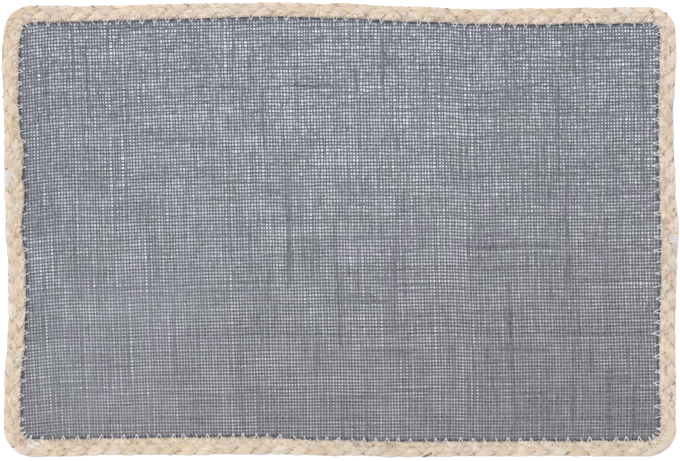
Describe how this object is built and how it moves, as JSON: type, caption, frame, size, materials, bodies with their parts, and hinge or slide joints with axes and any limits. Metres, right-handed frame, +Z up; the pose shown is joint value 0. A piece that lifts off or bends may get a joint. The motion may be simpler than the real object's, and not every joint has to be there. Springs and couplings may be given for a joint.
{
  "type": "fabric placemat",
  "caption": "Flat rectangular table mat: a panel of open, plain-woven cloth edged all round with a flat husk plait; it lies under a plate to protect the table.",
  "frame": {"origin": "on the surface the mat lies on, under the middle of its outline", "axes": "+X along the mat's long side, to the right in the picture; +Y across it, to the top of the picture; +Z up, out of its face"},
  "size_m": [0.4522, 0.3045, 0.0046],
  "materials": {
    "jute_cloth": "matt, dyed grey-blue, open plain weave of uneven single yarns",
    "husk_plait": "cream dried maize husk, low satin, finely grooved along its length",
    "sewing_thread": "white sewing thread, slightly glossy"
  },
  "bodies": {
    "root": {"cloth_panel": "jute_cloth", "upper_plait": "husk_plait", "lower_plait": "husk_plait"}
  },
  "joints": []
}
